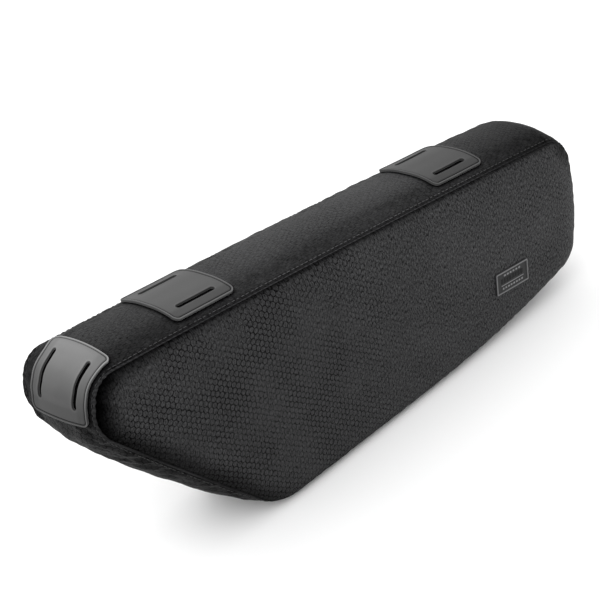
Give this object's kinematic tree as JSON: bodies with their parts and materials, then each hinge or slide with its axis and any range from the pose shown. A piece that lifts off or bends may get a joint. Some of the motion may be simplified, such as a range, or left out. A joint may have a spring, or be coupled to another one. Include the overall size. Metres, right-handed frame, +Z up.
{
  "type": "bicycle frame bag",
  "caption": "Moulded bicycle frame bag with a padded gusset band, slotted rubber strap pads and a closed side zip, standing on its base.",
  "frame": {"origin": "Middle of the bounding box on the ground that the base stands on.", "axes": "X from the nose to the rear, Y across the bag from the near side to the far side with the zip, Z up from the base."},
  "size_m": [0.3846, 0.074, 0.1444],
  "materials": {
    "moulded_fabric": "matte embossed laminate",
    "gusset_fabric": "matte woven",
    "pad_rubber": "smooth satin",
    "label_rubber": "smooth satin",
    "zip_fabric": "woven tape",
    "zip_metal": "black painted"
  },
  "bodies": {
    "root": {"gusset_band": "gusset_fabric", "near_side_panel": "moulded_fabric", "far_side_panel": "moulded_fabric", "top_pad_front": "pad_rubber", "top_pad_rear": "pad_rubber", "nose_pad": "pad_rubber", "label_patch": "label_rubber", "zip_tape": "zip_fabric", "zip_chain": "zip_fabric", "zip_slider": "zip_metal", "zip_puller": "pad_rubber"}
  },
  "joints": []
}
